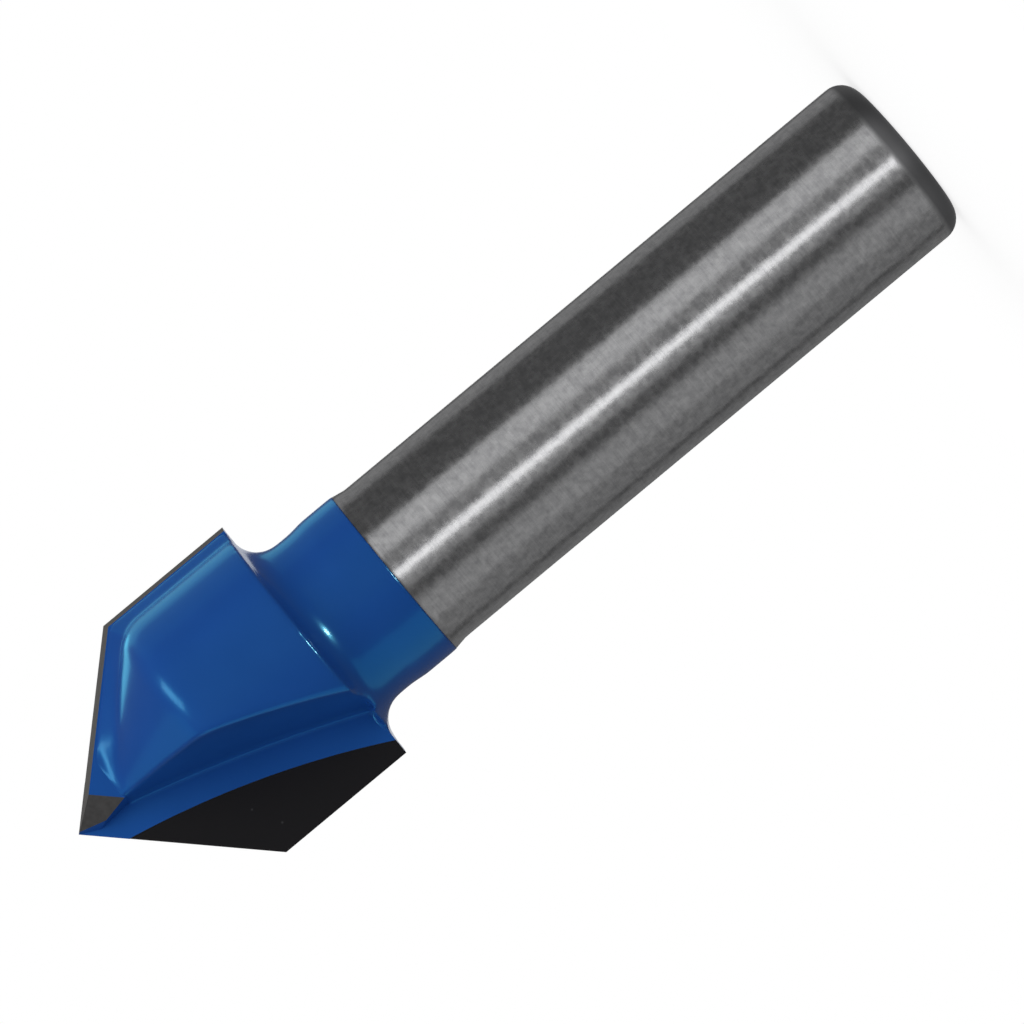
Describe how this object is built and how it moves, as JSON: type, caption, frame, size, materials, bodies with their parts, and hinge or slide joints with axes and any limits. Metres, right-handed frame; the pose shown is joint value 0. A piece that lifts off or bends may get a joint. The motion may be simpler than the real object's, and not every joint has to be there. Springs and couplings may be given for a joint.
{
  "type": "v groove router bit",
  "caption": "Router bit that cuts V-shaped grooves: a straight round shank and a fluted steel head with pointed carbide blades brazed to it.",
  "frame": {"origin": "centre of the shank's flat end face", "axes": "+Z along the axis of rotation from the shank's end to the cutting point; blade 1 cuts at +X with its rake face towards +Y"},
  "size_m": [0.02, 0.0172, 0.0715],
  "materials": {
    "body_steel": "ground bare steel on the shank, blue lacquer on the head, neck and collar",
    "carbide": "ground tungsten carbide, nearly black rake faces and grey flanks, lacquered blue between"
  },
  "bodies": {
    "root": {"steel_body": "body_steel", "carbide_blade_1": "carbide", "carbide_blade_2": "carbide"}
  },
  "joints": []
}
